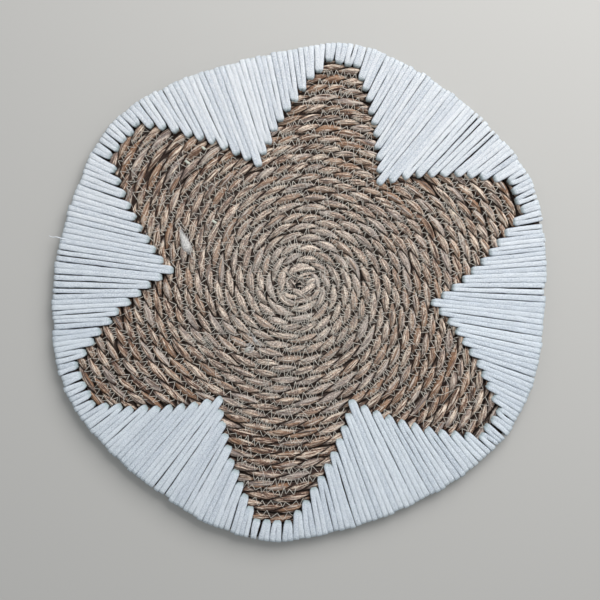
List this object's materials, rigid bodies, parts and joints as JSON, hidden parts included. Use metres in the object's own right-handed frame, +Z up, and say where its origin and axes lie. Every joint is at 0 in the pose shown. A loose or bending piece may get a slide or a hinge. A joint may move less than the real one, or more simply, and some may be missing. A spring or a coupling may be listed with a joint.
{
  "type": "round placemat",
  "caption": "Flat round placemat of sewn, coiled seagrass rope, with white cotton cord stitched over the rim around a bare six-pointed star.",
  "frame": {"origin": "centre of the outline's box, on the surface that the mat lies on", "axes": "+Z up, out of the mat's upper face; +X and +Y in the mat's plane, with +Y the side that is at the top of the picture"},
  "size_m": [0.378, 0.3821, 0.0118],
  "materials": {
    "seagrass": "dry twisted seagrass rope in mixed straw, grey and brown, matt",
    "cotton_yarn": "soft flat white cotton cord, matt"
  },
  "bodies": {
    "root": {"seagrass_coil": "seagrass", "yarn_edging_1": "cotton_yarn", "yarn_edging_2": "cotton_yarn", "yarn_edging_3": "cotton_yarn", "yarn_edging_4": "cotton_yarn", "yarn_edging_5": "cotton_yarn", "yarn_edging_6": "cotton_yarn"}
  },
  "joints": []
}
